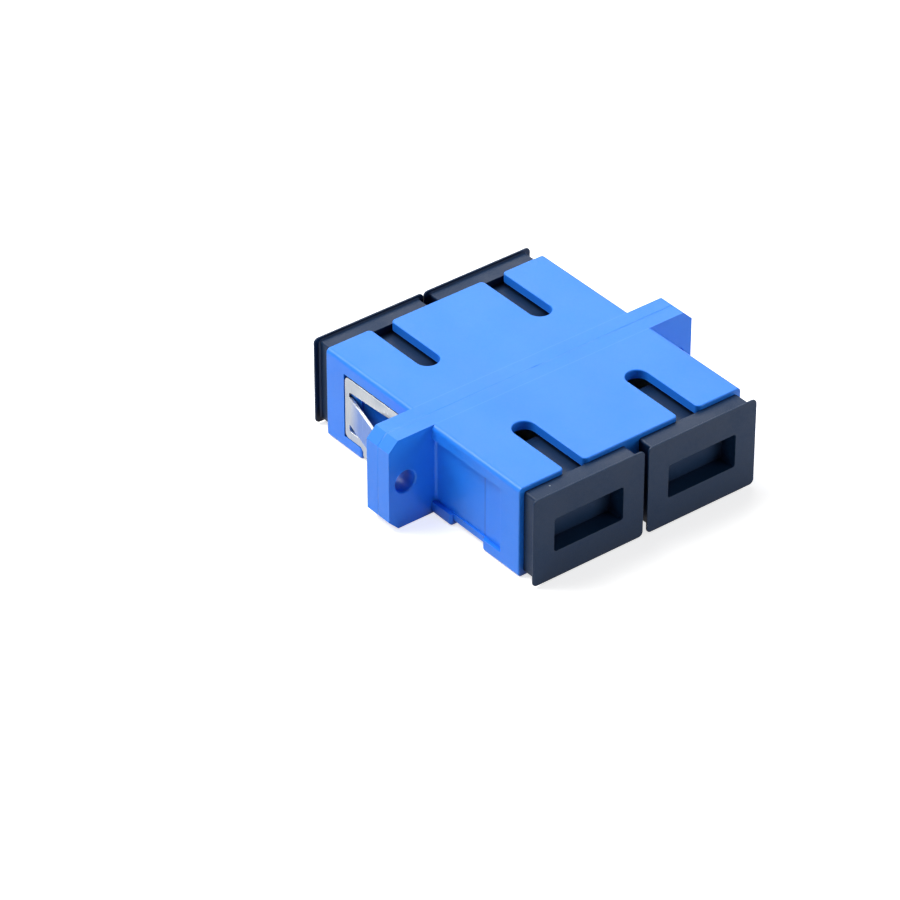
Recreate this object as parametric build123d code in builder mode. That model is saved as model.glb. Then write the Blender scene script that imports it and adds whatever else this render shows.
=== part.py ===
from build123d import *
from math import cos, radians, sin
import os

os.makedirs("parts", exist_ok=True)

# Driving sizes in mm: X runs along the flange, Y along the ports, Z is up, the seam is at y = 0

# Ports and body
port_pitch = 12.7
port_w = 9.1
port_h = 7.5
port_r = 0.3
side_wall = 1.5
flat_wall = 0.9
half_len = 13.6
top_edge_r = 0.45
bottom_edge_r = 0.35
mouth_edge_r = 0.12
slot_w = 2.25
slot_len = 7.9
slot_mouth_r = 0.45

# Flange
ear_len = 4.7
ear_chamfer = 1.0
flange_half_t = 1.55
hole_d = 2.2
hole_out = 2.85
hole_rim = 0.1
seam_chamfer = 0.06
junction_r = 0.3

# Side recesses and the channel that the clip lies in
ledge_h = 1.25
rim_h = 1.35
deep_recess = 0.5
shallow_recess = 0.35
deep_end = 8.9
recess_end = 11.05
channel_start = 4.2
channel_end = 8.55
channel_depth = 0.35
channel_r = 0.35
ledge_r = 0.25

# Latch holders
holder_plate_t = 1.3
holder_border = 0.4
holder_corner = 0.5
seat_play = 0.05
tube_wall = 0.65
tube_lip_t = 0.45
tube_lip_d = 2.9
tube_lead_in = 0.25
arm_t = 0.9
arm_h = 3.8
arm_tip = 8.6
arm_wall_gap = 0.4
root_chamfer = 0.25
hook_in = 0.65
hook_lead = 0.15
hook_len = 1.4
hook_flat = 0.2

# Alignment sleeves
sleeve_d = 3.2
sleeve_bore = 2.49
sleeve_len = 11.4
sleeve_slit = 0.5
sleeve_play = 0.05

# Dust caps
cap_gap = 0.47
rear_cap_shift = 0.2
cap_drop = 0.15
lip_t = 0.2
lip_corner_r = 0.45
lip_root = 0.12
cap_stand_out = 2.05
collar_over_w = 1.0
collar_over_h = 0.25
collar_r = 0.25
pocket_side = 2.3
pocket_h = 3.45
pocket_depth = 1.73
pocket_r = 0.25
plug_side_play = 0.25
plug_flat_play = 0.35
plug_wall = 0.8
plug_end_gap = 0.5
plug_arm_gap = 0.4
cap_seat_gap = 0.02
cap_edge = 0.06
plug_r = 0.5
plug_lead_in = 0.3

# Mounting clip
sheet_t = 0.28
clip_play = 0.02
clip_start = 1.7
clip_end = 10.95
strap_start = 4.35
strap_end = 8.4
clip_top_gap = 0.2
clip_low_gap = 0.05
clip_corner_r = 0.5
window_start = 2.75
window_end = 10.4
window_low = 2.15
window_high = 6.7
window_end_high = 6.35
tongue_low = 2.85
tongue_high = 5.8
tongue_tip = 3.25
tongue_angle = 15.5
tongue_corner_r = 0.3

# Sizes that follow from them
same_place = 0.005
port_x = port_pitch / 2
body_w = port_pitch + port_w + 2 * side_wall
body_h = port_h + 2 * flat_wall
mid_z = body_h / 2
flange_w = body_w + 2 * ear_len
hole_x = body_w / 2 + hole_out
recess_top = body_h - rim_h
seat_w = port_w + 2 * holder_border + 2 * seat_play
seat_h = port_h + holder_border + 2 * seat_play
seat_depth = holder_plate_t + seat_play
plate_w = seat_w - 2 * seat_play
plate_h = seat_h - 2 * seat_play
tube_bore = sleeve_d + 2 * sleeve_play
tube_d = tube_bore + 2 * tube_wall
tube_deep = sleeve_len / 2 + sleeve_play
tube_end = tube_deep + tube_lip_t
arm_out = port_w / 2 - arm_wall_gap
arm_in = arm_out - arm_t
arm_root = min(root_chamfer, (arm_in - tube_d / 2) / 3)
hook_catch_y = arm_tip - hook_len
lip_w = port_pitch - cap_gap
lip_h = body_h - 2 * cap_drop
collar_w = port_w + 2 * collar_over_w
collar_h = port_h + 2 * collar_over_h
pocket_w = lip_w - 2 * pocket_side
plug_w = port_w - 2 * plug_side_play
plug_h = port_h - 2 * plug_flat_play
cap_back = half_len + cap_seat_gap
cap_face = half_len + cap_stand_out
plug_end = tube_end + plug_end_gap
plug_side_end = arm_tip + plug_arm_gap
notch_h = arm_h + 2 * plug_arm_gap
plug_floor = cap_face - pocket_depth - plug_wall
clip_in = body_w / 2 - shallow_recess + clip_play
clip_top = recess_top - clip_top_gap
strap_top = channel_depth - clip_play
plate_low = ledge_h + clip_low_gap
plate_mid = (plate_low + clip_top) / 2
bend_in = channel_r + clip_play
tongue_len = (window_end - tongue_tip) / cos(radians(tongue_angle))
lean_out = sin(radians(tongue_angle))
lean_back = cos(radians(tongue_angle))


def across(y):
    """The plane across the ports at distance y behind the seam, X to the right and Z up."""
    return Plane.XZ.offset(-y)


def edges_at(edges, axis, *places):
    """Those of the edges whose middle lies at one of the places along the axis."""
    found = ShapeList()
    for place in places:
        found += edges.filter_by_position(axis, place - same_place, place + same_place)
    return found


# Rear housing half: the moulding, its port mouths towards +Y
with BuildPart() as rear_housing:
    # Body with rounded long edges
    Box(body_w, half_len, body_h, align=(Align.CENTER, Align.MIN, Align.MIN))
    fillet(rear_housing.edges().filter_by(Axis.Y).group_by(Axis.Z)[-1], top_edge_r)
    fillet(rear_housing.edges().filter_by(Axis.Y).group_by(Axis.Z)[0], bottom_edge_r)

    # Key slots and ports, with rounded corners where each slot meets the mouth
    with BuildSketch(Plane.XY.offset(body_h)):
        with Locations((-port_x, half_len), (port_x, half_len)):
            SlotOverall(2 * slot_len, slot_w, rotation=90)
    extrude(amount=-mid_z, mode=Mode.SUBTRACT)
    with BuildSketch(across(half_len)):
        with Locations((-port_x, mid_z), (port_x, mid_z)):
            RectangleRounded(port_w, port_h, port_r)
    extrude(amount=half_len - seat_depth, mode=Mode.SUBTRACT)
    mouth_corners = rear_housing.edges().filter_by(Axis.Z).group_by(Axis.Y)[-1]
    fillet(mouth_corners.filter_by_position(Axis.Z, body_h - flat_wall, body_h), slot_mouth_r)

    # Rounded edges round the mouth end and along the slots
    inside = body_w / 2 - top_edge_r - mouth_edge_r
    top_edges = rear_housing.faces().sort_by(Axis.Z)[-1].edges().filter_by_position(Axis.X, -inside, inside)
    end_edges = rear_housing.faces().sort_by(Axis.Y)[-1].edges()
    mouth_edges = (
        top_edges.filter_by_position(Axis.Y, mouth_edge_r, half_len)
        + end_edges.filter_by_position(Axis.X, -body_w / 2, top_edge_r - body_w / 2)
        + end_edges.filter_by_position(Axis.X, body_w / 2 - top_edge_r, body_w / 2)
        + end_edges.filter_by_position(Axis.Z, 0, mouth_edge_r)
    )
    fillet(mouth_edges, mouth_edge_r)

    # Half of the flange, with chamfered ears and screw holes
    with BuildSketch(across(0)) as flange_outline:
        with Locations((0, mid_z)):
            Rectangle(flange_w, body_h)
        chamfer(flange_outline.vertices(), ear_chamfer)
        with Locations((-hole_x, mid_z), (hole_x, mid_z)):
            Circle(hole_d / 2, mode=Mode.SUBTRACT)
        with Locations((-port_x, mid_z), (port_x, mid_z)):
            Rectangle(port_w, port_h, mode=Mode.SUBTRACT)
    extrude(amount=-flange_half_t)
    chamfer(rear_housing.faces().sort_by(Axis.Y)[0].outer_wire().edges(), seam_chamfer)
    hole_edges = edges_at(rear_housing.edges().filter_by(GeomType.CIRCLE), Axis.Z, mid_z)
    chamfer(edges_at(hole_edges, Axis.Y, flange_half_t), hole_rim)

    # Seats for the latch holders in the mating face
    with BuildSketch(across(0)):
        with Locations((-port_x, mid_z), (port_x, mid_z)):
            RectangleRounded(seat_w, seat_h, holder_corner)
    extrude(amount=-seat_depth, mode=Mode.SUBTRACT)

    # Stepped recess in each side for the clip's plate
    with Locations((-body_w / 2, flange_half_t, ledge_h), (body_w / 2, flange_half_t, ledge_h)):
        Box(
            2 * deep_recess, deep_end - flange_half_t, recess_top - ledge_h,
            align=(Align.CENTER, Align.MIN, Align.MIN), mode=Mode.SUBTRACT,
        )
        Box(
            2 * shallow_recess, recess_end - flange_half_t, recess_top - ledge_h,
            align=(Align.CENTER, Align.MIN, Align.MIN), mode=Mode.SUBTRACT,
        )
    floor_x = body_w / 2 - deep_recess
    root_edges = edges_at(rear_housing.edges().filter_by(Axis.Z), Axis.Y, flange_half_t)
    fillet(edges_at(root_edges, Axis.X, -floor_x, floor_x), junction_r)

    # Channel round the underside for the clip's strap
    with BuildSketch(across(channel_start)):
        with Locations((0, ledge_h)):
            Rectangle(flange_w, 4 * ledge_h, align=(Align.CENTER, Align.MAX))
        with Locations((0, channel_depth)):
            RectangleRounded(
                body_w - 2 * shallow_recess, body_h, channel_r,
                align=(Align.CENTER, Align.MIN), mode=Mode.SUBTRACT,
            )
    extrude(amount=channel_start - channel_end, mode=Mode.SUBTRACT)
    ledge_ends = edges_at(rear_housing.edges().filter_by(Axis.Z), Axis.Y, channel_start, channel_end)
    fillet(edges_at(ledge_ends, Axis.X, -body_w / 2, body_w / 2), ledge_r)

rear_housing.part.label = "rear_housing"
export_step(rear_housing.part, "parts/rear_housing.step")

# Front housing half: the same moulding turned to face the other way
with BuildPart() as front_housing:
    mirror(rear_housing.part, about=Plane.XZ)

front_housing.part.label = "front_housing"
export_step(front_housing.part, "parts/front_housing.step")

# Latch holder about the axis of one port: plate, sleeve tube and two hooked arms
with BuildPart() as holder:
    with BuildSketch(across(0)):
        RectangleRounded(plate_w, plate_h, holder_corner)
    extrude(amount=-holder_plate_t)
    with BuildSketch(across(0)):
        Circle(tube_d / 2)
    extrude(amount=-tube_end)
    with BuildSketch(Plane.XY):
        with BuildLine():
            Polyline(
                (arm_in, 0),
                (arm_in, hook_catch_y),
                (arm_in - hook_in, hook_catch_y),
                (arm_in - hook_in, hook_catch_y + hook_flat),
                (arm_in + hook_lead, arm_tip),
                (arm_out, arm_tip),
                (arm_out, 0),
                close=True,
            )
        make_face()
        mirror(about=Plane.YZ)
    extrude(amount=arm_h / 2, both=True)

    # Sleeve bore, closed to a smaller hole at the mouth end of the tube
    with BuildSketch(across(0)):
        Circle(tube_bore / 2)
    extrude(amount=-tube_deep, mode=Mode.SUBTRACT)
    with BuildSketch(across(0)):
        Circle(tube_lip_d / 2)
    extrude(amount=-tube_end, mode=Mode.SUBTRACT)
    tube_rims = holder.edges().filter_by(GeomType.CIRCLE).group_by(Axis.Y)[-1]
    chamfer(tube_rims, tube_lead_in)

    # Roots of the arms and the tube, strengthened where they leave the plate
    plate_face = holder.faces().filter_by(Axis.Y).sort_by(SortBy.AREA)[-2:].sort_by(Axis.Y)[-1]
    arm_roots = plate_face.edges().filter_by(Axis.Z).filter_by_position(Axis.X, -arm_out, arm_out)
    round_roots = plate_face.edges().filter_by(GeomType.CIRCLE)
    tube_root = round_roots.filter_by_position(Axis.X, -tube_d / 2, tube_d / 2)
    chamfer(arm_roots + tube_root, arm_root)

# Slit sleeve on the axis of one port
with BuildPart() as sleeve:
    with BuildSketch(across(-sleeve_len / 2)):
        Circle(sleeve_d / 2)
        Circle(sleeve_bore / 2, mode=Mode.SUBTRACT)
        Rectangle(sleeve_slit, sleeve_d, align=(Align.CENTER, Align.MIN), mode=Mode.SUBTRACT)
    extrude(amount=-sleeve_len)

# Dust cap on the axis of one port
with BuildPart() as cap:
    # Collar that stands on the body's end, spreading to a thin lip that a fingernail pulls
    with BuildSketch(across(cap_back)):
        RectangleRounded(collar_w, collar_h, collar_r)
    extrude(amount=cap_back - cap_face)
    with BuildSketch(across(cap_face)):
        RectangleRounded(lip_w, lip_h, lip_corner_r)
    extrude(amount=lip_t)
    lip_back = cap.faces().filter_by(Axis.Y).sort_by(Axis.Y)[-2]
    chamfer(lip_back.inner_wires().edges(), lip_root)

    # Pocket in the face
    with BuildSketch(across(cap_face)):
        RectangleRounded(pocket_w, pocket_h, pocket_r)
    extrude(amount=pocket_depth, mode=Mode.SUBTRACT)
    chamfer(cap.faces().sort_by(Axis.Y)[-1].edges(), cap_edge)

    # Hollow plug, its side walls cut short to clear the latch arms
    with BuildSketch(across(cap_back)):
        RectangleRounded(plug_w, plug_h, plug_r)
    extrude(amount=cap_back - plug_end)
    chamfer(cap.faces().sort_by(Axis.Y)[0].edges(), plug_lead_in)
    with BuildSketch(across(plug_end)):
        RectangleRounded(plug_w - 2 * plug_wall, plug_h - 2 * plug_wall, pocket_r)
    extrude(amount=plug_end - plug_floor, mode=Mode.SUBTRACT)
    with Locations((0, plug_end, 0)):
        Box(
            port_w, plug_side_end - plug_end, notch_h,
            align=(Align.CENTER, Align.MIN, Align.CENTER), mode=Mode.SUBTRACT,
        )

# Window in each side plate of the clip, a little lower at the mouth end
with BuildSketch() as window_outline:
    Polygon(
        (window_start, window_low),
        (window_end, window_low),
        (window_end, window_end_high),
        (window_start, window_high),
        align=None,
    )
    fillet(window_outline.vertices(), tongue_corner_r)

# Mounting clip: a strap round the underside, a windowed plate on each side and two leaning tongues
with BuildPart() as mounting_clip:
    # Strap and legs in the channel
    with BuildSketch(across(strap_start)):
        with Locations((0, strap_top - sheet_t)):
            RectangleRounded(
                2 * (clip_in + sheet_t), body_h, bend_in + sheet_t, align=(Align.CENTER, Align.MIN)
            )
        with Locations((0, strap_top)):
            RectangleRounded(
                2 * clip_in, body_h, bend_in, align=(Align.CENTER, Align.MIN), mode=Mode.SUBTRACT
            )
        with Locations((0, (plate_low + window_low) / 2)):
            Rectangle(flange_w, body_h, align=(Align.CENTER, Align.MIN), mode=Mode.SUBTRACT)
    extrude(amount=strap_start - strap_end)

    # Side plates with rounded corners and windows
    with BuildSketch(Plane.YZ.offset(clip_in)):
        with Locations(((clip_start + clip_end) / 2, plate_mid)):
            RectangleRounded(clip_end - clip_start, clip_top - plate_low, clip_corner_r)
        add(window_outline.sketch, mode=Mode.SUBTRACT)
    right_plate = extrude(amount=sheet_t)
    mirror(right_plate, about=Plane.YZ)
    leg_edges = edges_at(mounting_clip.edges().filter_by(Axis.X), Axis.Y, strap_start, strap_end)
    fillet(edges_at(leg_edges, Axis.Z, plate_low), tongue_corner_r)

    # Tongues, rooted at the mouth end of each window and leaning outwards towards the flange
    with BuildSketch(
        Plane(
            origin=(clip_in, window_end, (tongue_low + tongue_high) / 2),
            x_dir=(lean_out, -lean_back, 0),
            z_dir=(lean_back, lean_out, 0),
        )
    ) as tongue_outline:
        Rectangle(tongue_len, tongue_high - tongue_low, align=(Align.MIN, Align.CENTER))
        fillet(tongue_outline.vertices().group_by(Axis.Y)[0], tongue_corner_r)
    right_tongue = extrude(amount=sheet_t)
    mirror(right_tongue, about=Plane.YZ)

mounting_clip.part.label = "mounting_clip"
export_step(mounting_clip.part, "parts/mounting_clip.step")

# Latch holders in the four ports
with BuildPart() as holder_rear_left:
    with Locations((-port_x, 0, mid_z)):
        add(holder.part)
with BuildPart() as holder_rear_right:
    with Locations((port_x, 0, mid_z)):
        add(holder.part)
with BuildPart() as holder_front_left:
    mirror(holder_rear_left.part, about=Plane.XZ)
with BuildPart() as holder_front_right:
    mirror(holder_rear_right.part, about=Plane.XZ)

holder_rear_left.part.label = "holder_rear_left"
export_step(holder_rear_left.part, "parts/holder_rear_left.step")
holder_rear_right.part.label = "holder_rear_right"
export_step(holder_rear_right.part, "parts/holder_rear_right.step")
holder_front_left.part.label = "holder_front_left"
export_step(holder_front_left.part, "parts/holder_front_left.step")
holder_front_right.part.label = "holder_front_right"
export_step(holder_front_right.part, "parts/holder_front_right.step")

# Dust caps in the four ports, the rear two lying towards each other by the play they have
with BuildPart() as cap_rear_left:
    with Locations((rear_cap_shift - port_x, 0, mid_z)):
        add(cap.part)
with BuildPart() as cap_rear_right:
    with Locations((port_x - rear_cap_shift, 0, mid_z)):
        add(cap.part)
with BuildPart() as cap_front_left:
    with Locations(Location((-port_x, 0, mid_z), (0, 0, 180))):
        add(cap.part)
with BuildPart() as cap_front_right:
    with Locations(Location((port_x, 0, mid_z), (0, 0, 180))):
        add(cap.part)

cap_rear_left.part.label = "cap_rear_left"
export_step(cap_rear_left.part, "parts/cap_rear_left.step")
cap_rear_right.part.label = "cap_rear_right"
export_step(cap_rear_right.part, "parts/cap_rear_right.step")
cap_front_left.part.label = "cap_front_left"
export_step(cap_front_left.part, "parts/cap_front_left.step")
cap_front_right.part.label = "cap_front_right"
export_step(cap_front_right.part, "parts/cap_front_right.step")

# Sleeves on the axes of both port pairs
with BuildPart() as sleeve_left:
    with Locations((-port_x, 0, mid_z)):
        add(sleeve.part)
with BuildPart() as sleeve_right:
    with Locations((port_x, 0, mid_z)):
        add(sleeve.part)

sleeve_left.part.label = "sleeve_left"
export_step(sleeve_left.part, "parts/sleeve_left.step")
sleeve_right.part.label = "sleeve_right"
export_step(sleeve_right.part, "parts/sleeve_right.step")
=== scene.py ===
import logging
import math
from collections.abc import Callable
from dataclasses import dataclass
from enum import Enum

import bmesh
import bpy
from mathutils import Matrix, Vector


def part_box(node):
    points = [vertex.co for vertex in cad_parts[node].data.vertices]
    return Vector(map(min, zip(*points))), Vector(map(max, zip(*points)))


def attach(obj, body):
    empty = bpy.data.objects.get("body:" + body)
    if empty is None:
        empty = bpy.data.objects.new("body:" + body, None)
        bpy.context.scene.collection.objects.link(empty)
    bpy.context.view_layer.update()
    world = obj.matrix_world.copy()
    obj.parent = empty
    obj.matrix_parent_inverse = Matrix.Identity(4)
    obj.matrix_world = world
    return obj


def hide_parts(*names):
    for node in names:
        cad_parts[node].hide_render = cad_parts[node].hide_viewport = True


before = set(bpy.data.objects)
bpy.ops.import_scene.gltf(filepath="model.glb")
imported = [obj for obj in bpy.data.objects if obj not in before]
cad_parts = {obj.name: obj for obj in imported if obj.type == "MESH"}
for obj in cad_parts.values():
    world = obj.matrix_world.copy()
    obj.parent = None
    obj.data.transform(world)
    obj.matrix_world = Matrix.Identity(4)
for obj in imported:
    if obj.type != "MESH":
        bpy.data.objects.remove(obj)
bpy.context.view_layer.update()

MM = 0.001
SAME = 0.002 * MM
CORNER_STEPS = 5
ROUNDING_STEPS = 3
log = logging.getLogger("adapter")

Pair = tuple[float, float]
Triple = tuple[float, float, float]
Colour = Triple
Socket = bpy.types.NodeSocket
Edges = list[bmesh.types.BMEdge]


class Port(Enum):
    """The four ports, each with its name and its end along Y."""

    FRONT_LEFT = ("front_left", -1)
    FRONT_RIGHT = ("front_right", -1)
    REAR_LEFT = ("rear_left", 1)
    REAR_RIGHT = ("rear_right", 1)

    @property
    def label(self) -> str:
        """The port's name as the CAD nodes have it."""
        return self.value[0]

    @property
    def end(self) -> int:
        """The end it opens at: -1 for the front and 1 for the rear."""
        return self.value[1]


class Slot(Enum):
    """The record's material slots that match the new pieces' finishes."""

    BLUE = "housing_blue"
    BLACK = "cap_black"
    STEEL = "spring_steel"


@dataclass(frozen=True)
class Pattern:
    """A noise pattern: its grain, octaves and stretch, and the values between which it rises."""

    size: float
    detail: float = 2.0
    stretch: Triple = (1.0, 1.0, 1.0)
    rise: Pair = (0.3, 0.7)


@dataclass(frozen=True)
class Relief:
    """A bump: the pattern that it follows, its depth and how strongly it shows."""

    pattern: Pattern
    depth: float
    share: float


@dataclass(frozen=True)
class ToolLine:
    """A faint line that the mould leaves: its place, half width, strength and height limit."""

    place: float
    half: float
    strength: float
    height: Pair


class Graph:
    """The nodes of one material: a Principled shader and what feeds it."""

    speck_core = 0.6
    line_core = 0.2
    flat_to_turned = (0.99, 0.86)
    shut_to_open = (0.55, 0.9)

    def __init__(self, name: str) -> None:
        """Start a material with its shader joined to the output.

        Args:
            name: The material's name.
        """
        self.material = bpy.data.materials.new(name)
        self.material.use_nodes = True
        self.nodes = self.material.node_tree.nodes
        self.links = self.material.node_tree.links
        self.nodes.clear()
        self.shader = self.nodes.new("ShaderNodeBsdfPrincipled")
        output = self.nodes.new("ShaderNodeOutputMaterial")
        self.links.new(self.shader.outputs["BSDF"], output.inputs["Surface"])
        coordinates = self.nodes.new("ShaderNodeTexCoord")
        self.place = coordinates.outputs["Object"]
        self.facing = coordinates.outputs["Normal"]

    def wire(self, node: bpy.types.Node, **feeds: object) -> bpy.types.Node:
        """Feed a node's inputs, each with a socket or a plain value.

        Args:
            node: The node to feed.
            **feeds: Input names, with underscores for spaces, and what each gets.

        Returns:
            The same node.
        """
        for key, value in feeds.items():
            socket = node.inputs[key.replace("_", " ")]
            if isinstance(value, Socket):
                self.links.new(value, socket)
            else:
                socket.default_value = value
        return node

    def noise(self, pattern: Pattern) -> Socket:
        """A noise pattern on the object's own coordinates.

        Args:
            pattern: The pattern.

        Returns:
            The pattern's value socket.
        """
        mapping = self.nodes.new("ShaderNodeMapping")
        scale = tuple(1 / (pattern.size * stretch) for stretch in pattern.stretch)
        self.wire(mapping, Vector=self.place, Scale=scale)
        texture = self.nodes.new("ShaderNodeTexNoise")
        self.wire(texture, Vector=mapping.outputs["Vector"], Scale=1.0, Detail=pattern.detail)
        return texture.outputs["Fac"]

    def patches(self, pattern: Pattern, low: float = 0.0, high: float = 1.0) -> Socket:
        """A pattern's patches, low where its rise starts and high where it ends."""
        return self.span(self.noise(pattern), *pattern.rise, low, high)

    def specks(self, size: float, share: float) -> Socket:
        """Small scattered specks, one at most in each cell.

        Args:
            size: The distance between cells, in metres.
            share: The radius of a speck as a share of its cell.

        Returns:
            A socket that is 1 on a speck and 0 elsewhere.
        """
        mapping = self.nodes.new("ShaderNodeMapping")
        self.wire(mapping, Vector=self.place, Scale=(1 / size,) * 3)
        cells = self.nodes.new("ShaderNodeTexVoronoi")
        self.wire(cells, Vector=mapping.outputs["Vector"], Scale=1.0)
        return self.span(cells.outputs["Distance"], share, share * self.speck_core)

    def along(self, axis: str, of: Socket | None = None) -> Socket:
        """Where a point, or the end of another vector, lies along one axis."""
        vector = self.place if of is None else of
        return self.wire(self.nodes.new("ShaderNodeSeparateXYZ"), Vector=vector).outputs[axis]

    def away(self, axis: str, of: Socket | None = None) -> Socket:
        """How far a point, or the end of another vector, lies from the middle along one axis."""
        return self.math("ABSOLUTE", self.along(axis, of), 0.0)

    def line(self, value: Socket, place: float, half: float) -> Socket:
        """A thin soft line where a value passes one place.

        Args:
            value: The value's socket.
            place: The value at the middle of the line.
            half: Half the line's width.

        Returns:
            A socket that is 1 on the line and 0 off it.
        """
        core = half * self.line_core
        rising = self.span(value, place - half, place - core)
        falling = self.span(value, place + half, place + core)
        return self.math("MULTIPLY", rising, falling)

    def tool_line(self, line: ToolLine, value: Socket) -> Socket:
        """How strongly a mould's line shows.

        Args:
            line: The line.
            value: The value that passes the line's place.

        Returns:
            A socket that is the line's strength on it and 0 off it.
        """
        within = self.span(self.away("Z"), *line.height)
        shown = self.math("MULTIPLY", self.line(value, line.place, line.half), within)
        return self.math("MULTIPLY", shown, line.strength)

    def span(self, value: Socket, start: float, end: float,
             low: float = 0.0, high: float = 1.0) -> Socket:
        """Carry a value's range from start..end to low..high, held at both ends.

        Args:
            value: The socket to carry over.
            start: The value that becomes low.
            end: The value that becomes high.
            low: The result at start.
            high: The result at end.

        Returns:
            The result's socket.
        """
        node = self.nodes.new("ShaderNodeMapRange")
        self.wire(node, Value=value, From_Min=start, From_Max=end, To_Min=low, To_Max=high)
        return node.outputs["Result"]

    def math(self, operation: str, first: object, second: object) -> Socket:
        """One sum of two values, held between 0 and 1.

        Args:
            operation: The Math node's operation.
            first: The first socket or number.
            second: The second socket or number.

        Returns:
            The result's socket.
        """
        node = self.nodes.new("ShaderNodeMath")
        node.operation = operation
        node.use_clamp = True
        for socket, value in zip(node.inputs, (first, second)):
            if isinstance(value, Socket):
                self.links.new(value, socket)
            else:
                socket.default_value = value
        return node.outputs[0]

    def blend(self, share: Socket, first: object, second: object) -> Socket:
        """A mix of two colours.

        Args:
            share: How much of the second colour there is.
            first: The first colour, or its socket.
            second: The second colour, or its socket.

        Returns:
            The mixed colour's socket.
        """
        node = self.nodes.new("ShaderNodeMix")
        node.data_type = "RGBA"
        self.links.new(share, node.inputs[0])
        for socket, value in zip((node.inputs[6], node.inputs[7]), (first, second)):
            if isinstance(value, Socket):
                self.links.new(value, socket)
            else:
                socket.default_value = (*value, 1.0)
        return node.outputs[2]

    def edges(self, radius: float) -> Socket:
        """A mask of the outer edges, where hands and the mould's parting rub first, and where the
        steel takes its painted edge highlight.

        Args:
            radius: How far from an edge the mask reaches, in metres.

        Returns:
            A socket that is 1 on an edge and 0 on flat ground.
        """
        rounded = self.wire(self.nodes.new("ShaderNodeBevel"), Radius=radius)
        flat = self.nodes.new("ShaderNodeNewGeometry")
        turn = self.nodes.new("ShaderNodeVectorMath")
        turn.operation = "DOT_PRODUCT"
        self.links.new(rounded.outputs["Normal"], turn.inputs[0])
        self.links.new(flat.outputs["Normal"], turn.inputs[1])
        open_ground = self.wire(self.nodes.new("ShaderNodeAmbientOcclusion"), Distance=radius * 2)
        outer = self.span(open_ground.outputs["AO"], *self.shut_to_open)
        turned = self.span(turn.outputs["Value"], *self.flat_to_turned)
        return self.math("MULTIPLY", turned, outer)

    def painted_shade(self, reach: float, shade_openness: Pair) -> Socket:
        """A painted-shade mask from ambient occlusion: 1 on the ground inside slots, pockets and
        hollows, where shade falls, and 0 in the open.
        """
        openness = self.wire(self.nodes.new("ShaderNodeAmbientOcclusion"), Distance=reach)
        return self.span(openness.outputs["AO"], *shade_openness)

    def relief(self, relief: Relief, under: Socket | None = None) -> Socket:
        """The surface's normal with one more relief on it.

        Args:
            relief: The relief.
            under: The normal of a coarser relief that this one lies on.

        Returns:
            The bumped normal's socket.
        """
        node = self.nodes.new("ShaderNodeBump")
        self.wire(node, Height=self.noise(relief.pattern), Distance=relief.depth,
                  Strength=relief.share)
        if under is not None:
            self.links.new(under, node.inputs["Normal"])
        return node.outputs["Normal"]


def mould_grain(size: float, depth: float) -> Relief:
    """The fine grain that a mould's spark-eroded wall leaves."""
    return Relief(Pattern(size), depth, 0.7)


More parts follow.
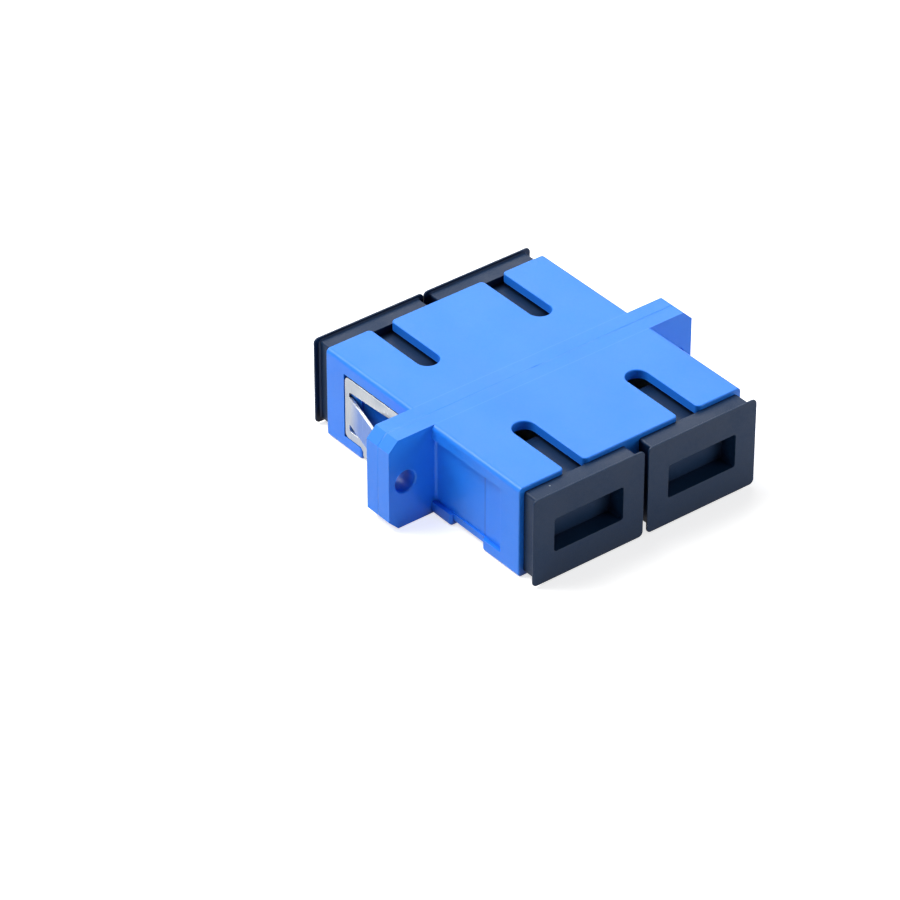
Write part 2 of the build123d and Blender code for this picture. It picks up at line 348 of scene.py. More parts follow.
@dataclass(frozen=True)
class MouldedPlastic:
    """Injection-moulded plastic: fine mould grain, soft flow clouds, rubbed edges and painted shade
    in its slots, pockets and hollows.
    """

    name: str
    colour: Colour
    cloud: Colour
    rubbed: Colour
    roughness: Pair
    handling: float
    grain: Relief
    edge: float
    wear: float
    specular: float = 0.5
    lint: Colour | None = None
    # the colour of the painted shade in slots, pockets and hollows
    painted_shade_colour: Colour | None = None
    shade_openness: Pair = (0.62, 0.34)
    mould_line: ToolLine | None = None
    # a thin line across the sides at a mould insert's step, painted dark as the step's shade
    insert_step_shade: ToolLine | None = None
    flow: Pattern = Pattern(7 * MM, 3.0, (1.0, 2.2, 0.8), (0.35, 0.68))
    mottle: Pattern = Pattern(0.5 * MM, 3.0, rise=(0.42, 0.66))
    mottle_share: float = 0.35
    rub: Pattern = Pattern(1.6 * MM, 4.0, rise=(0.4, 0.62))
    least_rub: float = 0.35
    touch: Pattern = Pattern(3.5 * MM, 3.0, rise=(0.4, 0.7))
    wiped: Relief = Relief(Pattern(0.22 * MM, 3.0, (14.0, 1.0, 9.0)), 0.004 * MM, 0.4)
    waves: Relief = Relief(Pattern(4 * MM, 1.0), 0.03 * MM, 0.12)
    shade_reach: float = 2.4 * MM
    lint_apart: float = 2.3 * MM
    lint_size: float = 0.04
    lint_share: float = 0.8
    side_facing: Pair = (0.8, 0.95)

    def make(self) -> bpy.types.Material:
        """Build the material.

        Returns:
            The finished material.
        """
        graph = Graph(self.name)
        colour = graph.blend(graph.patches(self.flow), self.colour, self.cloud)
        mottle = graph.patches(self.mottle, 0.0, self.mottle_share)
        colour = graph.blend(mottle, colour, self.cloud)
        rub = graph.patches(self.rub, self.least_rub, 1.0)
        worn = graph.math("MULTIPLY", graph.edges(self.edge), rub)
        colour = graph.blend(graph.math("MULTIPLY", worn, self.wear), colour, self.rubbed)
        # painted shade: the ground inside slots, pockets and hollows darkened by ambient occlusion
        if self.painted_shade_colour is not None:
            painted_shade = graph.painted_shade(self.shade_reach, self.shade_openness)
            colour = graph.blend(painted_shade, colour, self.painted_shade_colour)
        if self.lint is not None:
            bits = graph.specks(self.lint_apart, self.lint_size)
            colour = graph.blend(graph.math("MULTIPLY", bits, self.lint_share), colour, self.lint)
        if self.mould_line is not None:
            line = graph.tool_line(self.mould_line, graph.away("Y"))
            colour = graph.blend(line, colour, self.rubbed)
        # painted shade: a thin dark line across the sides where a mould insert's step sits, in the
        # shade colour
        if self.insert_step_shade is not None:
            line = graph.tool_line(self.insert_step_shade, graph.along("Y"))
            on_side = graph.span(graph.away("X", graph.facing), *self.side_facing)
            colour = graph.blend(graph.math("MULTIPLY", line, on_side), colour, self.painted_shade_colour)
        shine = graph.patches(self.grain.pattern, *self.roughness)
        handled = graph.patches(self.touch, -self.handling, self.handling)
        rough = graph.math("ADD", shine, handled)
        normal = graph.relief(self.grain, graph.relief(self.wiped, graph.relief(self.waves)))
        graph.wire(graph.shader, Base_Color=colour, Roughness=rough, Normal=normal,
                   Specular_IOR_Level=self.specular)
        return graph.material


@dataclass(frozen=True)
class SpringSteel:
    """Bright rolled spring strip, with rolling lines along its length, a painted reflection of the
    blue housing on its tongues, painted highlights on its edges and painted shade in its hollows.
    """

    name: str
    colour: Colour
    shade: Colour
    reflected_blue: Colour
    bright: Colour
    # the colour of the painted shade in hollows
    painted_shade_colour: Colour
    plate_out: float
    roughness: Pair = (0.24, 0.42)
    stain: Pattern = Pattern(2.2 * MM, 3.0, rise=(0.4, 0.7))
    rolling: Relief = Relief(Pattern(0.07 * MM, 4.0, (30.0, 1.0, 30.0)), 0.003 * MM, 0.5)
    waves: Relief = Relief(Pattern(1.5 * MM, 1.0), 0.02 * MM, 0.3)
    reflection_reach: float = 0.7 * MM
    face_facing: Pair = (0.6, 0.85)
    cut_facing: Pair = (0.6, 0.3)
    cut_band: Pair = (0.35 * MM, 0.25 * MM)
    edge: float = 0.1 * MM
    highlight_share: float = 0.85
    shade_reach: float = 1.4 * MM
    shade_openness: Pair = (0.42, 0.2)

    def make(self) -> bpy.types.Material:
        """Build the material.

        Returns:
            The finished material.
        """
        graph = Graph(self.name)
        out = graph.away("X")
        facing = graph.away("X", graph.facing)
        colour = graph.blend(graph.patches(self.stain), self.colour, self.shade)
        # painted reflection: the tongues, out past the plate, turned towards the blue of the
        # housing that they reflect
        sprung = graph.span(out, self.plate_out, self.plate_out + self.reflection_reach)
        blue_reflection = graph.math("MULTIPLY", sprung, graph.span(facing, *self.face_facing))
        colour = graph.blend(blue_reflection, colour, self.reflected_blue)
        # painted highlight: the cut edges and the outer edges lightened towards the highlight
        # colour
        side = graph.span(out, *(self.plate_out - inward for inward in self.cut_band))
        cut_edge_highlight = graph.math("MULTIPLY", side, graph.span(facing, *self.cut_facing))
        edges = graph.math("MAXIMUM", cut_edge_highlight, graph.edges(self.edge))
        colour = graph.blend(graph.math("MULTIPLY", edges, self.highlight_share), colour, self.bright)
        # painted shade: the steel inside hollows and under the tongues darkened by ambient
        # occlusion
        painted_shade = graph.painted_shade(self.shade_reach, self.shade_openness)
        colour = graph.blend(painted_shade, colour, self.painted_shade_colour)
        rough = graph.patches(self.rolling.pattern, *self.roughness)
        normal = graph.relief(self.rolling, graph.relief(self.waves))
        graph.wire(graph.shader, Base_Color=colour, Metallic=1.0, Roughness=rough, Normal=normal)
        return graph.material


@dataclass(frozen=True)
class GroundCeramic:
    """Ground zirconia: near white, glossy, with faint grinding rings."""

    name: str
    colour: Colour
    shade: Colour
    roughness: Pair = (0.12, 0.22)
    stain: Pattern = Pattern(1.2 * MM, 3.0, rise=(0.35, 0.7))
    grinding: Relief = Relief(Pattern(0.06 * MM, 3.0, (20.0, 1.0, 20.0)), 0.002 * MM, 0.4)
    glow: float = 0.15
    glow_spread: Colour = (1.0, 0.9, 0.7)
    glow_reach: float = 0.5 * MM

    def make(self) -> bpy.types.Material:
        """Build the material.

        Returns:
            The finished material.
        """
        graph = Graph(self.name)
        colour = graph.blend(graph.patches(self.stain), self.colour, self.shade)
        rough = graph.patches(self.grinding.pattern, *self.roughness)
        normal = graph.relief(self.grinding)
        graph.wire(graph.shader, Base_Color=colour, Roughness=rough, Normal=normal,
                   Subsurface_Weight=self.glow, Subsurface_Radius=self.glow_spread,
                   Subsurface_Scale=self.glow_reach)
        return graph.material


def dress(node: str, material: bpy.types.Material) -> None:
    """Give a CAD node's object a material in its own slot.

    Args:
        node: The node's name.
        material: The material it gets.
    """
    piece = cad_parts[node]
    if piece.material_slots:
        for slot in piece.material_slots:
            slot.material = material
    else:
        piece.data.materials.append(material)
    log.info("dressed %s in %s", node, material.name)


@dataclass(frozen=True)
class Outline:
    """A rectangle with rounded corners, standing across the Z of a sketch."""

    width: float
    height: float
    corner: float
    depth: float = 0.0
    centre: Pair = (0.0, 0.0)
    far_drop: float = 0.0

    def corner_centre(self, right: int, up: int) -> Vector:
        """The centre of one corner's rounding.

        Args:
            right: 1 for the corners at the high end of X, -1 for the low end.
            up: 1 for the corners at the high end of Y, -1 for the low end.

        Returns:
            The centre.
        """
        drop = self.far_drop if right > 0 and up > 0 else 0.0
        return Vector((self.centre[0] + right * (self.width / 2 - self.corner),
                       self.centre[1] + up * (self.height / 2 - self.corner) - drop, self.depth))


class Sketch:
    """A mesh under construction, with the few moves that this object's pieces are made by."""

    crease = math.radians(50)
    inner_crease = math.radians(30)

    def __init__(self) -> None:
        """Start an empty mesh."""
        self.form = bmesh.new()

    def start(self, outline: Outline, steps: int = CORNER_STEPS) -> Edges:
        """A flat face of one outline's shape.

        Args:
            outline: The outline.
            steps: How many edges each rounded corner has.

        Returns:
            The face's edges.
        """
        place = Matrix.Translation((*outline.centre, outline.depth))
        size = Matrix.Diagonal((outline.width, outline.height, 1, 1))
        made = bmesh.ops.create_grid(self.form, x_segments=1, y_segments=1, size=0.5,
                                     matrix=place @ size)
        bmesh.ops.bevel(self.form, geom=made["verts"], offset=outline.corner, offset_type="OFFSET",
                        segments=steps, profile=0.5, affect="VERTICES", material=-1)
        return list(self.form.edges)

    def draw(self, edges: Edges) -> tuple[list[bmesh.types.BMVert], Edges]:
        """Draw new faces out of edges, which stay where they are until they are moved.

        Args:
            edges: The edges to draw from.

        Returns:
            The new vertices, and the new edges that join them.
        """
        made = bmesh.ops.extrude_edge_only(self.form, edges=edges)["geom"]
        verts = [item for item in made if isinstance(item, bmesh.types.BMVert)]
        far = [item for item in made if isinstance(item, bmesh.types.BMEdge)
               and all(vert in verts for vert in item.verts)]
        return verts, far

    def step(self, edges: Edges, old: Outline, new: Outline) -> Edges:
        """Draw a band of faces from one outline to the next, corner by corner.

        Args:
            edges: The edges that lie on the old outline.
            old: The outline to draw from.
            new: The outline to draw to.

        Returns:
            The edges on the new outline.
        """
        verts, far = self.draw(edges)
        x, y = old.centre
        corners = {
            (right, up): [vert for vert in verts
                          if (vert.co.x > x) == (right > 0) and (vert.co.y > y) == (up > 0)]
            for right in (-1, 1) for up in (-1, 1)
        }
        for (right, up), group in corners.items():
            centre = old.corner_centre(right, up)
            size = new.corner / old.corner
            around = Matrix.Translation(-centre)
            bmesh.ops.scale(self.form, verts=group, vec=(size, size, 1), space=around)
            bmesh.ops.translate(self.form, verts=group, vec=new.corner_centre(right, up) - centre)
        return far

    def move(self, matrix: Matrix) -> None:
        """Carry the whole mesh to another place."""
        bmesh.ops.transform(self.form, verts=self.form.verts, matrix=matrix)

    def cut(self, place: Vector, normal: Vector,
            where: Callable[[Vector], bool] = lambda _: True) -> None:
        """Cut the faces of one region along a plane.

        Args:
            place: A point on the plane.
            normal: The plane's normal.
            where: Which face centres belong to the region.
        """
        faces = [face for face in self.form.faces if where(face.calc_center_median())]
        edges = {edge for face in faces for edge in face.edges}
        verts = {vert for face in faces for vert in face.verts}
        bmesh.ops.bisect_plane(self.form, geom=[*faces, *edges, *verts], plane_co=place,
                               plane_no=normal, dist=SAME)

    def edges_where(self, test: Callable[[Vector], bool], border: bool = False) -> Edges:
        """The edges whose ends pass a test and, where asked, that lie on the mesh's border."""
        return [edge for edge in self.form.edges if all(test(vert.co) for vert in edge.verts)
                and not (border and len(edge.link_faces) > 1)]

    def pull(self, edges: Edges, by: Vector) -> Edges:
        """Draw a strip of faces out of an edge or chain.

        Args:
            edges: The edges to draw from.
            by: How far and which way.

        Returns:
            The strip's far edges.
        """
        verts, far = self.draw(edges)
        bmesh.ops.translate(self.form, verts=verts, vec=by)
        return far

    def bend(self, edges: Edges, centre: Vector, axis: Vector, angle: float,
             steps: int) -> Edges:
        """Draw a curved strip of faces out of an edge.

        Args:
            edges: The edges to draw from.
            centre: A point on the bend's axis.
            axis: The bend's axis.
            angle: The bend's angle, in radians.
            steps: How many faces it has along the curve.

        Returns:
            The strip's far edges.
        """
        verts = {vert for edge in edges for vert in edge.verts}
        made = bmesh.ops.spin(self.form, geom=[*edges, *verts], cent=centre, axis=axis, angle=angle,
                              steps=steps, use_merge=False, use_duplicate=False)["geom_last"]
        return [item for item in made if isinstance(item, bmesh.types.BMEdge)]

    def mark_outer_edges(self) -> None:
        """Give the sharp outward edges the weight that the edge rounding goes by."""
        weight = self.form.edges.layers.float.new("bevel_weight_edge")
        for edge in self.form.edges:
            outer = len(edge.link_faces) == 2 and edge.calc_face_angle_signed(0) > self.crease
            edge[weight] = 1.0 if outer else 0.0

    def close(self) -> None:
        """Merge doubles and turn every face outwards."""
        bmesh.ops.remove_doubles(self.form, verts=self.form.verts, dist=SAME)
        bmesh.ops.recalc_face_normals(self.form, faces=self.form.faces)

    def finish(self, name: str, material: bpy.types.Material, body: str, slot: Slot,
               *nodes: str) -> bpy.types.Object:
        """Make the mesh a piece of the adapter.

        Args:
            name: The piece's name.
            material: Its material.
            body: The CAD body that it rides on.
            slot: The record's material slot that matches its finish; not used.
            *nodes: The CAD nodes that it stands for.

        Returns:
            The piece.
        """
        for face in self.form.faces:
            face.smooth = True
        for edge in self.form.edges:
            turn = edge.calc_face_angle_signed(0) if len(edge.link_faces) == 2 else 0.0
            edge.smooth = -self.inner_crease < turn < self.crease
        mesh = bpy.data.meshes.new(name)
        self.form.to_mesh(mesh)
        self.form.free()
        mesh.materials.append(material)
        piece = bpy.data.objects.new(name, mesh)
        bpy.context.scene.collection.objects.link(piece)
        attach(piece, body)
        if nodes:
            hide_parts(*nodes)
        log.info("made %s on %s, %d faces", name, body, len(mesh.polygons))
        return piece


def round_edges(piece: bpy.types.Object, width: float, by: str) -> None:
    """Round a piece's edges and keep its flat faces flat in the shading.

    Args:
        piece: The piece.
        width: How far each rounding reaches.
        by: ANGLE for all sharp edges, or WEIGHT for those that were marked.
    """
    rounded = piece.modifiers.new("rounded_edges", "BEVEL")
    rounded.width = width
    rounded.segments = ROUNDING_STEPS
    rounded.limit_method = by
    rounded.angle_limit = Sketch.crease
    rounded.harden_normals = True


@dataclass
class Housing:
    """The two moulded halves and the weld that joins them round the flange."""

    finish: MouldedPlastic
    flange: Pair = (34.2 * MM, 9.3 * MM)
    chamfer: float = 1.0 * MM
    weld_width: float = 0.11 * MM
    weld_depth: float = 0.07 * MM
    weld_sink: float = 0.01 * MM
    gap: Pair = (-0.3 * MM, 0.9 * MM)
    gap_sink: float = 0.045 * MM

    def weld(self, material: bpy.types.Material) -> bpy.types.Object:
        """The weld: a thin ring in the groove between the halves, sunk deeper along one short gap.

        Args:
            material: The plastic that it is made of.

        Returns:
            The weld's piece.
        """
        outer, inner = (Outline(self.flange[0] - 2 * sink, self.flange[1] - 2 * sink, self.chamfer,
                                -self.weld_width / 2) for sink in (self.weld_sink, self.weld_depth))
        sketch = Sketch()
        edges = sketch.start(outer, 1)
        bmesh.ops.delete(sketch.form, geom=list(sketch.form.faces), context="FACES_ONLY")
        sketch.step(edges, outer, inner)
        across = Vector((0, 0, self.weld_width))
        made = bmesh.ops.extrude_face_region(sketch.form, geom=list(sketch.form.faces))["geom"]
        lifted = [item for item in made if isinstance(item, bmesh.types.BMVert)]
        bmesh.ops.translate(sketch.form, verts=lifted, vec=across)
        middle = sum(self.gap) / 2
        for x in (self.gap[0], middle, self.gap[1]):
            sketch.cut(Vector((x, 0, 0)), Vector((1, 0, 0)), lambda point: point.y > 0)
        top = outer.height / 2
        sunk = [vert for vert in sketch.form.verts
                if abs(vert.co.x - middle) < SAME and abs(vert.co.y - top) < SAME]
        bmesh.ops.translate(sketch.form, verts=sunk, vec=(0, self.weld_sink - self.gap_sink, 0))
        sketch.close()
        sketch.move(Matrix(((1, 0, 0, 0), (0, 0, -1, 0), (0, 1, 0, self.flange[1] / 2),
                            (0, 0, 0, 1))))
        return sketch.finish("seam_weld", material, "adapter", Slot.BLUE)

    def build(self) -> None:
        """Dress both halves in the blue plastic and lay the weld between them."""
        material = self.finish.make()
        for node in ("front_housing", "rear_housing"):
            dress(node, material)
        self.weld(material)


@dataclass
class DustCap:
    """One pull-out cap: a thin lip, a collar on the body's end, and a hollow plug in the port."""

    port: Port
    material: bpy.types.Material
    lip_t: float = 0.2 * MM
    lip_corner: float = 0.45 * MM
    collar_over: Pair = (11.1 * MM, 8.4 * MM)
    collar_corner: float = 0.25 * MM
    collar_back: float = 13.62 * MM
    pocket: Pair = (7.63 * MM, 3.45 * MM)
    pocket_corner: float = 0.25 * MM
    pocket_depth: float = 1.73 * MM
    draft: float = 0.08 * MM
    plug: Pair = (8.6 * MM, 6.8 * MM)
    plug_corner: float = 0.5 * MM
    plug_wall: float = 0.8 * MM
    lead_in: float = 0.3 * MM
    notch_side: float = 9.0 * MM
    notch_half: float = 2.3 * MM
    edge: float = 0.07 * MM
    root: float = 0.12 * MM

    def loft(self, sketch: Sketch, face: float, lip: Pair, end: float) -> None:
        """Draw the cap's skin from the pocket's floor round to the plug's floor.

        Args:
            sketch: The mesh to build in.
            face: The face's distance from the seam.
            lip: The lip's width and height.
            end: The plug's end, as a distance from the seam.
        """
        inner = (self.plug[0] - 2 * self.plug_wall, self.plug[1] - 2 * self.plug_wall)
        tip = (self.plug[0] - 2 * self.lead_in, self.plug[1] - 2 * self.lead_in)
        pocket_floor = (self.pocket[0] - 2 * self.draft, self.pocket[1] - 2 * self.draft)
        spread = (self.collar_over[0] + 2 * self.root, self.collar_over[1] + 2 * self.root)
        profile = [
            Outline(*pocket_floor, self.pocket_corner, face - self.pocket_depth),
            Outline(*self.pocket, self.pocket_corner, face),
            Outline(*lip, self.lip_corner, face),
            Outline(*lip, self.lip_corner, face - self.lip_t),
            Outline(*spread, self.collar_corner + self.root, face - self.lip_t),
            Outline(*self.collar_over, self.collar_corner, face - self.lip_t - self.root),
            Outline(*self.collar_over, self.collar_corner, self.collar_back),
            Outline(*self.plug, self.plug_corner, self.collar_back),
            Outline(*self.plug, self.plug_corner, end + self.lead_in),
            Outline(*tip, self.plug_corner, end),
            Outline(*inner, self.pocket_corner, end),
            Outline(*inner, self.pocket_corner, face - self.pocket_depth - self.plug_wall),
        ]
        edges = sketch.start(profile[0])
        for old, new in zip(profile, profile[1:]):
            edges = sketch.step(edges, old, new)
        bmesh.ops.edgeloop_fill(sketch.form, edges=edges)

    def notch(self, sketch: Sketch) -> None:
        """Cut the plug's side walls short, where the latch arms stand.

        Args:
            sketch: The mesh to cut.
        """
        inside = self.plug[0] / 2 - self.plug_wall

        def on_plug(point: Vector) -> bool:
            """Whether a point lies inward of the collar."""
            return point.z < self.collar_back - self.plug_wall

        for y in (-self.notch_half, self.notch_half):
            sketch.cut(Vector((0, y, 0)), Vector((0, 1, 0)), on_plug)
        sketch.cut(Vector((0, 0, self.notch_side)), Vector((0, 0, 1)), on_plug)
        gone = [face for face in sketch.form.faces
                if (middle := face.calc_center_median()).z < self.notch_side
                and abs(middle.y) < self.notch_half and abs(middle.x) > inside - SAME]
        bmesh.ops.delete(sketch.form, geom=gone, context="FACES")
        for side in (-1, 1):
            rim = [edge for edge in sketch.form.edges if edge.is_boundary
                   and all(vert.co.x * side > 0 for vert in edge.verts)]
            split = inside + self.lead_in
            layers = [[edge for edge in rim
                       if all((abs(vert.co.x) > split) == outer for vert in edge.verts)]
                      for outer in (True, False)]
            bmesh.ops.bridge_loops(sketch.form, edges=layers[0] + layers[1])

    def build(self) -> bpy.types.Object:
        """Build the cap where its CAD node is.

        Returns:
            The cap's piece.
        """
        node = f"cap_{self.port.label}"
        low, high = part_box(node)
        face, end = sorted((abs(low.y), abs(high.y)), reverse=True)
        sketch = Sketch()
        self.loft(sketch, face, (high.x - low.x, high.z - low.z), end)
        self.notch(sketch)
        sketch.close()
        sketch.mark_outer_edges()
        way = self.port.end
        sketch.move(Matrix(((-way, 0, 0, (low.x + high.x) / 2), (0, 0, way, 0),
                            (0, 1, 0, (low.z + high.z) / 2), (0, 0, 0, 1))))
        piece = sketch.finish(f"dust_cap_{self.port.label}", self.material, node, Slot.BLACK, node)
        round_edges(piece, self.edge, "WEIGHT")
        return piece


@dataclass
class MountingClip:
    """The sprung steel clip: a strap below, two windowed plates and two leaning tongues."""

    finish: SpringSteel
    inner_x: float = 12.07 * MM
    sheet: float = 0.28 * MM
    plate_y: Pair = (1.7 * MM, 10.95 * MM)
    plate_z: Pair = (1.3 * MM, 7.75 * MM)
    plate_corner: float = 0.5 * MM
    window_y: Pair = (2.75 * MM, 10.4 * MM)
    window_z: Pair = (2.15 * MM, 6.7 * MM)
    window_lower: float = 0.35 * MM
    window_corner: float = 0.3 * MM
    strap_y: Pair = (4.35 * MM, 8.4 * MM)
    strap_top: float = 0.33 * MM
    strap_bend: float = 0.37 * MM
    leg_root: float = 0.3 * MM
    tongue_z: Pair = (2.85 * MM, 5.8 * MM)
    tongue_tip: float = 3.25 * MM
    tongue_bend: float = 0.8 * MM
    tongue_corner: float = 0.3 * MM
    lean: float = math.radians(15.5)
    root_steps: int = 4
    strap_steps: int = 6
    lean_steps: int = 4
    edge: float = 0.035 * MM

    def plate(self, sketch: Sketch) -> None:
        """Lay a side plate round its window, as a flat sheet.

        Args:
            sketch: The mesh to build in.
        """
        outer, window = (
            Outline(along[1] - along[0], up[1] - up[0], corner,
                    centre=(sum(along) / 2, sum(up) / 2), far_drop=drop)
            for along, up, corner, drop in (
                (self.plate_y, self.plate_z, self.plate_corner, 0.0),
                (self.window_y, self.window_z, self.window_corner, self.window_lower),
            )
        )
        edges = sketch.start(outer)
        bmesh.ops.delete(sketch.form, geom=list(sketch.form.faces), context="FACES_ONLY")
        sketch.step(edges, outer, window)
        sketch.move(Matrix(((0, 0, 1, self.inner_x), (1, 0, 0, 0), (0, 1, 0, 0), (0, 0, 0, 1))))

    def leg(self, sketch: Sketch) -> None:
        """Draw the leg below the plate, its bend and half of the strap.

        Args:
            sketch: The mesh to build in.
        """
        low, high = self.strap_y
        foot = self.plate_z[0]
        for y in (low - self.leg_root, high + self.leg_root):
            sketch.cut(Vector((0, y, 0)), Vector((0, 1, 0)),
                       lambda point: point.z < self.window_z[0])
        edges = sketch.edges_where(
            lambda point: abs(point.z - foot) < SAME and low - self.leg_root - SAME < point.y
            < high + self.leg_root + SAME, border=True)
        middle = (low + high) / 2
        for row in range(1, self.root_steps + 1):
            turn, before = (math.radians(90 * k / self.root_steps) for k in (row, row - 1))
            drop = self.leg_root * (math.sin(turn) - math.sin(before))
            edges = sketch.pull(edges, Vector((0, 0, -drop)))
            half = (high - low) / 2 + self.leg_root * (1 - math.sin(turn))
            now = max(abs(vert.co.y - middle) for edge in edges for vert in edge.verts)
            verts = list({vert for edge in edges for vert in edge.verts})
            bmesh.ops.scale(sketch.form, verts=verts, vec=(1, half / now, 1),
                            space=Matrix.Translation((0, -middle, 0)))
        bend_z = self.strap_top + self.strap_bend
        edges = sketch.pull(edges, Vector((0, 0, bend_z - foot + self.leg_root)))
        centre = Vector((self.inner_x - self.strap_bend, 0, bend_z))
        edges = sketch.bend(edges, centre, Vector((0, 1, 0)), math.radians(90), self.strap_steps)
        sketch.pull(edges, Vector((self.strap_bend - self.inner_x, 0, 0)))

    def tongue(self, sketch: Sketch) -> None:
        """Bend the tongue out of the window's edge at the mouth end, towards the flange.

        Args:
            sketch: The mesh to build in.
        """
        root = self.window_y[1]
        for z in self.tongue_z:
            sketch.cut(Vector((0, 0, z)), Vector((0, 0, 1)),
                       lambda point: point.y > root - self.leg_root)
        edges = sketch.edges_where(
            lambda point: abs(point.y - root) < SAME and self.tongue_z[0] - SAME < point.z
            < self.tongue_z[1] + SAME, border=True)
        centre = Vector((self.inner_x + self.tongue_bend, root, 0))
        edges = sketch.bend(edges, centre, Vector((0, 0, 1)), self.lean, self.lean_steps)
        reach = root - self.tongue_bend * math.sin(self.lean) - self.tongue_tip
        edges = sketch.pull(edges, Vector((math.tan(self.lean) * reach, -reach, 0)))
        tips = list({vert for edge in edges for vert in edge.verts})
        bmesh.ops.bevel(sketch.form, geom=tips, offset=self.tongue_corner, offset_type="OFFSET",
                        segments=CORNER_STEPS, profile=0.5, affect="VERTICES", material=-1)

    def build(self) -> bpy.types.Object:
        """Build the clip where its CAD node is.

        Returns:
            The clip's piece.
        """
        sketch = Sketch()
        self.plate(sketch)
        self.leg(sketch)
        self.tongue(sketch)
        everything = [*sketch.form.verts, *sketch.form.edges, *sketch.form.faces]
        bmesh.ops.mirror(sketch.form, geom=everything, axis="X", merge_dist=SAME,
                         matrix=Matrix.Identity(4))
        sketch.close()
        lowest = min(sketch.form.faces, key=lambda face: face.calc_center_median().z)
        if lowest.normal.z > 0:
            bmesh.ops.reverse_faces(sketch.form, faces=sketch.form.faces)
        steel = self.finish.make()
        piece = sketch.finish("spring_clip", steel, "adapter", Slot.STEEL, "mounting_clip")
        sheet = piece.modifiers.new("sheet", "SOLIDIFY")
        sheet.thickness = self.sheet
        sheet.offset = 1.0
        sheet.use_even_offset = True
        round_edges(piece, self.edge, "ANGLE")
        return piece


@dataclass
class Internals:
    """The latch holders and the alignment sleeves inside the ports."""

    holder_finish: MouldedPlastic
    sleeve_finish: GroundCeramic

    def build(self) -> None:
        """Dress the holders and the sleeves."""
        plastic = self.holder_finish.make()
        for port in Port:
            dress(f"holder_{port.label}", plastic)
        ceramic = self.sleeve_finish.make()
        for side in ("left", "right"):
            dress(f"sleeve_{side}", ceramic)


@dataclass(frozen=True)
class Lamp:
    """One square softbox aimed at the object."""

    name: str
    place: Triple
    size: float
    power: float

    def build(self) -> None:
        """Hang the lamp."""
        data = bpy.data.lights.new(self.name, "AREA")
        data.shape = "SQUARE"
        data.size = self.size
        data.energy = self.power
        lamp = bpy.data.objects.new(self.name, data)
        lamp.location = self.place
        lamp.rotation_euler = (-Vector(self.place)).to_track_quat("-Z", "Y").to_euler()
        bpy.context.scene.collection.objects.link(lamp)


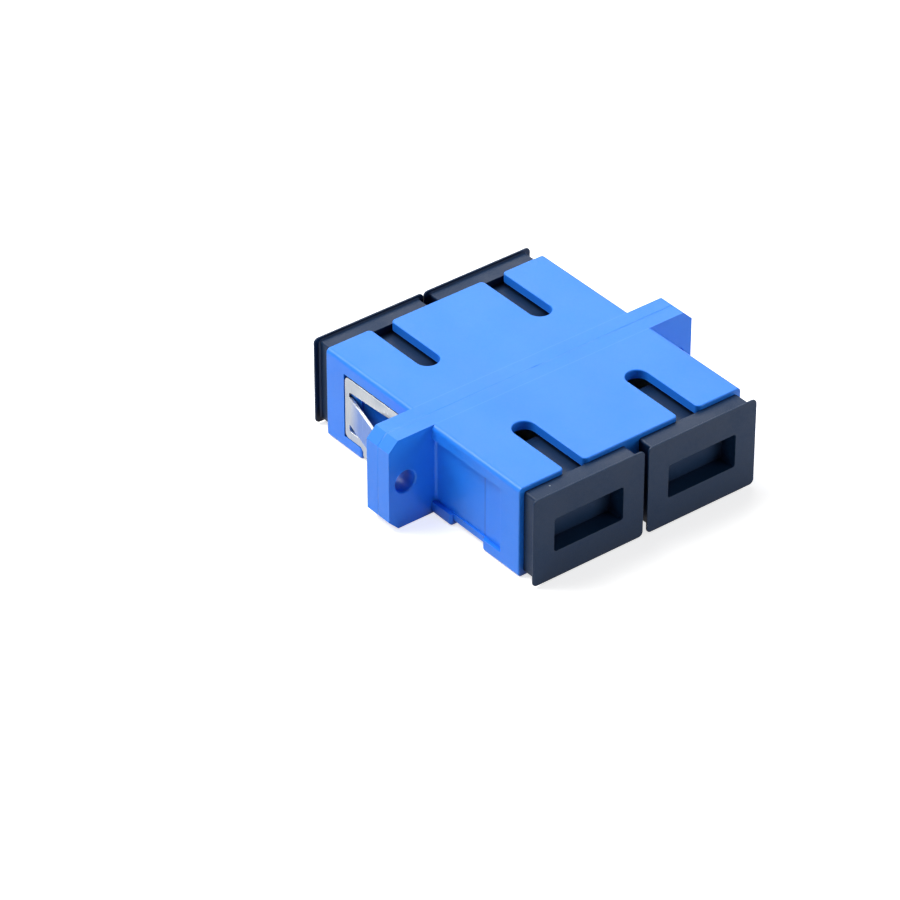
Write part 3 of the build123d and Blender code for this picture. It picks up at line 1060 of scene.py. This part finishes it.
@dataclass
class Studio:
    """The pale floor, the soft lamps and the camera at the photograph's angle."""

    lamps: tuple[Lamp, ...]
    floor_size: float = 1.5
    floor_drop: float = 0.02 * MM
    floor_colour: Colour = (0.76, 0.76, 0.76)
    floor_lift: float = 0.72
    sky: float = 0.14
    azimuth: float = -38.176
    elevation: float = 35.178
    distance: float = 0.4263
    right: float = -0.00721
    up: float = -0.003363
    aim_height: float = 0.00458
    lens: float = 193.3
    sensor: float = 36.0
    clip: Pair = (0.01, 20.0)

    def build_floor(self) -> bpy.types.Object:
        """A pale floor that keeps the object's shadow.

        Returns:
            The floor's object.
        """
        mesh = bpy.data.meshes.new("floor")
        sheet = bmesh.new()
        bmesh.ops.create_grid(sheet, x_segments=1, y_segments=1, size=self.floor_size)
        bmesh.ops.translate(sheet, verts=sheet.verts, vec=(0, 0, -self.floor_drop))
        sheet.to_mesh(mesh)
        sheet.free()
        floor = bpy.data.objects.new("floor", mesh)
        bpy.context.scene.collection.objects.link(floor)
        material = bpy.data.materials.new("pale_floor")
        material.use_nodes = True
        nodes, links = material.node_tree.nodes, material.node_tree.links
        nodes.clear()
        matt = nodes.new("ShaderNodeBsdfDiffuse")
        matt.inputs["Color"].default_value = (*self.floor_colour, 1)
        lift = nodes.new("ShaderNodeEmission")
        links.new(self.seen(nodes, links, self.floor_lift), lift.inputs["Strength"])
        both = nodes.new("ShaderNodeAddShader")
        links.new(matt.outputs[0], both.inputs[0])
        links.new(lift.outputs[0], both.inputs[1])
        links.new(both.outputs[0], nodes.new("ShaderNodeOutputMaterial").inputs["Surface"])
        mesh.materials.append(material)
        return floor

    @staticmethod
    def seen(nodes: bpy.types.Nodes, links: bpy.types.NodeLinks, strength: float) -> Socket:
        """A strength for the rays that show a backdrop, and 0 for those that light the object.

        Args:
            nodes: The tree's nodes.
            links: The tree's links.
            strength: The strength for camera, glossy and transmission rays.

        Returns:
            The strength's socket.
        """
        path = nodes.new("ShaderNodeLightPath")
        total = path.outputs["Is Camera Ray"]
        for other in ("Is Glossy Ray", "Is Transmission Ray"):
            larger = nodes.new("ShaderNodeMath")
            larger.operation = "MAXIMUM"
            links.new(total, larger.inputs[0])
            links.new(path.outputs[other], larger.inputs[1])
            total = larger.outputs[0]
        scaled = nodes.new("ShaderNodeMath")
        scaled.operation = "MULTIPLY"
        links.new(total, scaled.inputs[0])
        scaled.inputs[1].default_value = strength
        return scaled.outputs[0]

    def build_sky(self) -> None:
        """A dim even sky that is white where it is seen."""
        world = bpy.data.worlds.new("studio")
        bpy.context.scene.world = world
        world.use_nodes = True
        nodes, links = world.node_tree.nodes, world.node_tree.links
        nodes.clear()
        glow = nodes.new("ShaderNodeBackground")
        rest = nodes.new("ShaderNodeMath")
        rest.operation = "ADD"
        links.new(self.seen(nodes, links, 1 - self.sky), rest.inputs[0])
        rest.inputs[1].default_value = self.sky
        links.new(rest.outputs[0], glow.inputs["Strength"])
        glow.inputs["Color"].default_value = (1, 1, 1, 1)
        links.new(glow.outputs[0], nodes.new("ShaderNodeOutputWorld").inputs["Surface"])

    def build_camera(self) -> None:
        """The camera at the photograph's angle, distance and place in the picture."""
        turn, rise = math.radians(self.azimuth), math.radians(self.elevation)
        level = math.cos(rise)
        back = Vector((math.sin(turn) * level, -math.cos(turn) * level, math.sin(rise)))
        across = Vector((math.cos(turn), math.sin(turn), 0))
        above = back.cross(across)
        data = bpy.data.cameras.new("camera")
        data.lens = self.lens
        data.sensor_width = self.sensor
        data.clip_start, data.clip_end = self.clip
        camera = bpy.data.objects.new("camera", data)
        aim = Vector((0, 0, self.aim_height))
        camera.location = aim + back * self.distance + across * self.right + above * self.up
        camera.rotation_euler = (-back).to_track_quat("-Z", "Y").to_euler()
        bpy.context.scene.collection.objects.link(camera)
        bpy.context.scene.camera = camera

    def build(self) -> None:
        """Set up the floor, the light and the camera."""
        self.build_floor()
        self.build_sky()
        for lamp in self.lamps:
            lamp.build()
        self.build_camera()
        bpy.context.scene.view_settings.view_transform = "Standard"


# Blue housing plastic, with painted shade darkening its slots, flange holes and clip window, and a
# painted-shade line at the insert step on its sides.
BLUE_PLASTIC = MouldedPlastic(
    "blue_plastic", colour=(0.016, 0.24, 0.96), cloud=(0.013, 0.22, 0.93), rubbed=(0.12, 0.4, 1.0),
    roughness=(0.34, 0.46), handling=0.02, grain=mould_grain(0.14 * MM, 0.006 * MM),
    edge=0.2 * MM, wear=0.3, specular=0.36, painted_shade_colour=(0.005, 0.05, 0.32), shade_openness=(0.48, 0.2),
    mould_line=ToolLine(1.55 * MM, 0.07 * MM, 0.2, (9.25 * MM, 9.29 * MM)),
    insert_step_shade=ToolLine(-8.35 * MM, 0.17 * MM, 0.3, (7.9 * MM, 7.85 * MM)),
)
# Black cap plastic, with painted shade darkening its pockets and the plugs seen down the slots.
BLACK_PLASTIC = MouldedPlastic(
    "black_plastic", colour=(0.004, 0.021, 0.062), cloud=(0.006, 0.025, 0.07),
    rubbed=(0.06, 0.09, 0.13), roughness=(0.36, 0.52), handling=0.06,
    grain=mould_grain(0.12 * MM, 0.01 * MM), edge=0.16 * MM, wear=0.25, specular=0.19,
    lint=(0.25, 0.3, 0.36), painted_shade_colour=(0.002, 0.004, 0.016),
)
IVORY_PLASTIC = MouldedPlastic(
    "ivory_plastic", colour=(0.74, 0.72, 0.64), cloud=(0.7, 0.67, 0.58), rubbed=(0.85, 0.84, 0.8),
    roughness=(0.3, 0.44), handling=0.05, grain=mould_grain(0.12 * MM, 0.005 * MM),
    edge=0.12 * MM, wear=0.4,
)
# Rolled steel, with a painted reflection of the blue housing on its tongues, painted highlights on
# its edges and painted shade in its hollows.
ROLLED_STEEL = SpringSteel(
    "rolled_steel", colour=(0.4, 0.41, 0.4), shade=(0.32, 0.34, 0.35), reflected_blue=(0.045, 0.13, 0.38),
    bright=(0.86, 0.85, 0.83), painted_shade_colour=(0.02, 0.025, 0.04), plate_out=12.27 * MM,
)
WHITE_CERAMIC = GroundCeramic("white_ceramic", colour=(0.86, 0.85, 0.81), shade=(0.8, 0.79, 0.74))
KEY_LAMP = Lamp("key", (-0.17, 0.26, 0.46), 0.36, 3.9)
BACK_LAMP = Lamp("back_sheen", (0.28, 0.36, 0.32), 0.3, 0.65)
FRONT_LAMP = Lamp("front_fill", (0.34, -0.5, 0.1), 0.3, 1.25)


def main() -> None:
    """Build the adapter's pieces and its studio."""
    logging.basicConfig(level=logging.INFO, format="%(name)s: %(message)s")
    Housing(BLUE_PLASTIC).build()
    MountingClip(ROLLED_STEEL).build()
    black = BLACK_PLASTIC.make()
    for port in Port:
        DustCap(port, black).build()
    Internals(IVORY_PLASTIC, WHITE_CERAMIC).build()
    Studio((KEY_LAMP, BACK_LAMP, FRONT_LAMP)).build()


if __name__ == "__main__":
    main()
